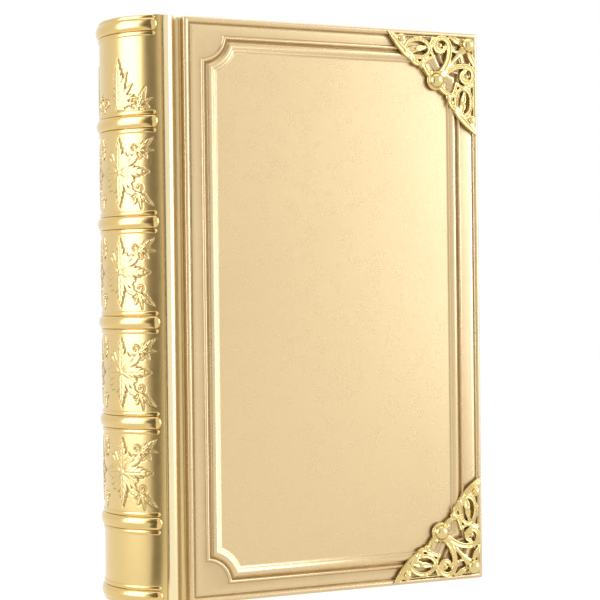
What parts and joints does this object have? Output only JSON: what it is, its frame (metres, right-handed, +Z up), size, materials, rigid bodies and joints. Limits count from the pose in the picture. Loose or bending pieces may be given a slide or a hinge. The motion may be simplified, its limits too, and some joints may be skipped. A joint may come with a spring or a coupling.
{
  "type": "antique leather book",
  "caption": "Upright leather-bound book with a rounded spine, raised bands, moulded panel covers that open on leather joints, and pierced brass corners.",
  "frame": {"origin": "middle of the bounding box's base: the book stands on its tail", "axes": "+Z up from tail to head, front cover faces -Y, spine at -X and fore-edge at +X"},
  "size_m": [0.1652, 0.0626, 0.24],
  "materials": {
    "paper_block": "matt, cut edges",
    "endpaper": "matt",
    "lining": "matt",
    "cord": "matt",
    "silk": "satin",
    "board": "matt",
    "gilt_spine": "polished gilt leather",
    "gilt_cover": "satin gilt leather, fine grain",
    "brass_corner": "polished, dark in the recesses",
    "brass_nail": "polished"
  },
  "bodies": {
    "book_block": {"text_block": "paper_block", "spine_lining": "lining", "sewing_cords": "cord", "headband": "silk", "tailband": "silk", "front_flyleaf": "endpaper", "back_flyleaf": "endpaper", "spine_leather": "gilt_spine", "front_joint": "gilt_cover", "back_joint": "gilt_cover"},
    "front_cover": {"front_board": "board", "front_cover": "gilt_cover", "front_pastedown": "endpaper", "front_top_corner": "brass_corner", "front_bottom_corner": "brass_corner", "front_nails": "brass_nail"},
    "back_cover": {"back_board": "board", "back_cover": "gilt_cover", "back_pastedown": "endpaper", "back_top_corner": "brass_corner", "back_bottom_corner": "brass_corner", "back_nails": "brass_nail"}
  },
  "joints": [
    {"name": "front_hinge", "type": "hinge", "parent": "book_block", "child": "front_cover", "pos_m": [-0.05725, -0.0272, 0.12], "axis": [0, 0, -1], "range_deg": [0, 180]},
    {"name": "back_hinge", "type": "hinge", "parent": "book_block", "child": "back_cover", "pos_m": [-0.05725, 0.0272, 0.12], "axis": [0, 0, 1], "range_deg": [0, 180]}
  ]
}
